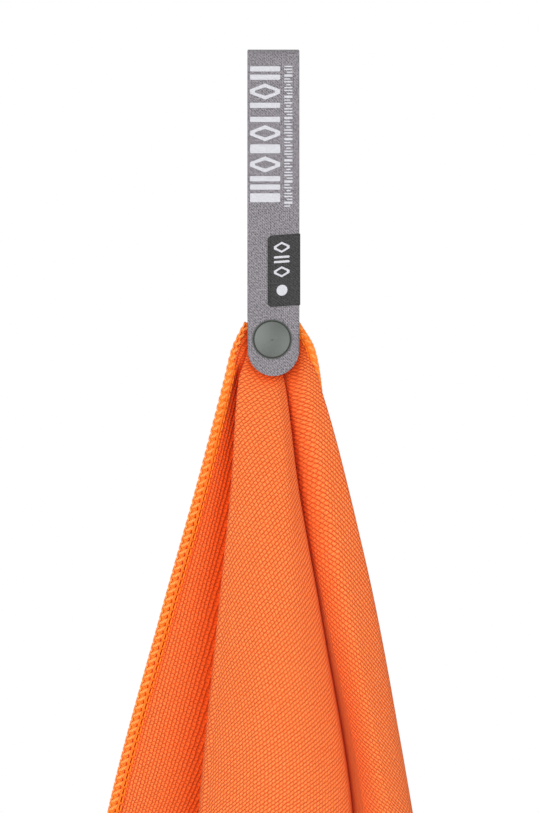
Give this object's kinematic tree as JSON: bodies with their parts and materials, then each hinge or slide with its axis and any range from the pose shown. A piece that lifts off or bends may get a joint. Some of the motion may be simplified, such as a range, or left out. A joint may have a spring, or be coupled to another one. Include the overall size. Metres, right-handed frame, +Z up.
{
  "type": "quick dry towel",
  "caption": "Microfibre travel towel hung by its short edge from a ribbon loop that opens with a press stud.",
  "frame": {"origin": "centre of the hanging loop's top bend, on the axis of the rail that it hangs on", "axes": "+X along the rail to the right seen from the front, +Z up, so the towel's front faces -Y"},
  "size_m": [0.1628, 0.0554, 1.1265],
  "materials": {
    "strap_ribbon": "matte",
    "label_weave": "matte",
    "grey_thread": "matte",
    "painted_cap": "satin",
    "bright_metal": "satin",
    "spring_wire": "satin",
    "towel_cloth": "matte",
    "overlock_thread": "satin"
  },
  "bodies": {
    "loop_back": {"strap_back": "strap_ribbon", "seam_stitching": "grey_thread", "snap_stud": "bright_metal", "snap_eyelet": "bright_metal", "towel_head": "towel_cloth", "overlock_head": "overlock_thread"},
    "loop_front": {"strap_front": "strap_ribbon", "side_label": "label_weave", "label_stitching": "grey_thread", "snap_cap": "painted_cap", "cap_rivet": "bright_metal", "snap_socket": "bright_metal", "snap_spring": "spring_wire"},
    "towel": {"towel_body": "towel_cloth", "overlock_left": "overlock_thread", "overlock_right": "overlock_thread", "overlock_hem": "overlock_thread"}
  },
  "joints": [
    {"name": "strap_open", "type": "hinge", "parent": "loop_back", "child": "loop_front", "pos_m": [0, -0.003, -0.0018], "axis": [-1, 0, 0], "range_deg": [0, 120], "deforming": ["snap_spring"]},
    {"name": "towel_swing", "type": "hinge", "parent": "loop_back", "child": "towel", "pos_m": [0, 0.005, -0.13], "axis": [1, 0, 0], "range_deg": [-90, 90]}
  ]
}
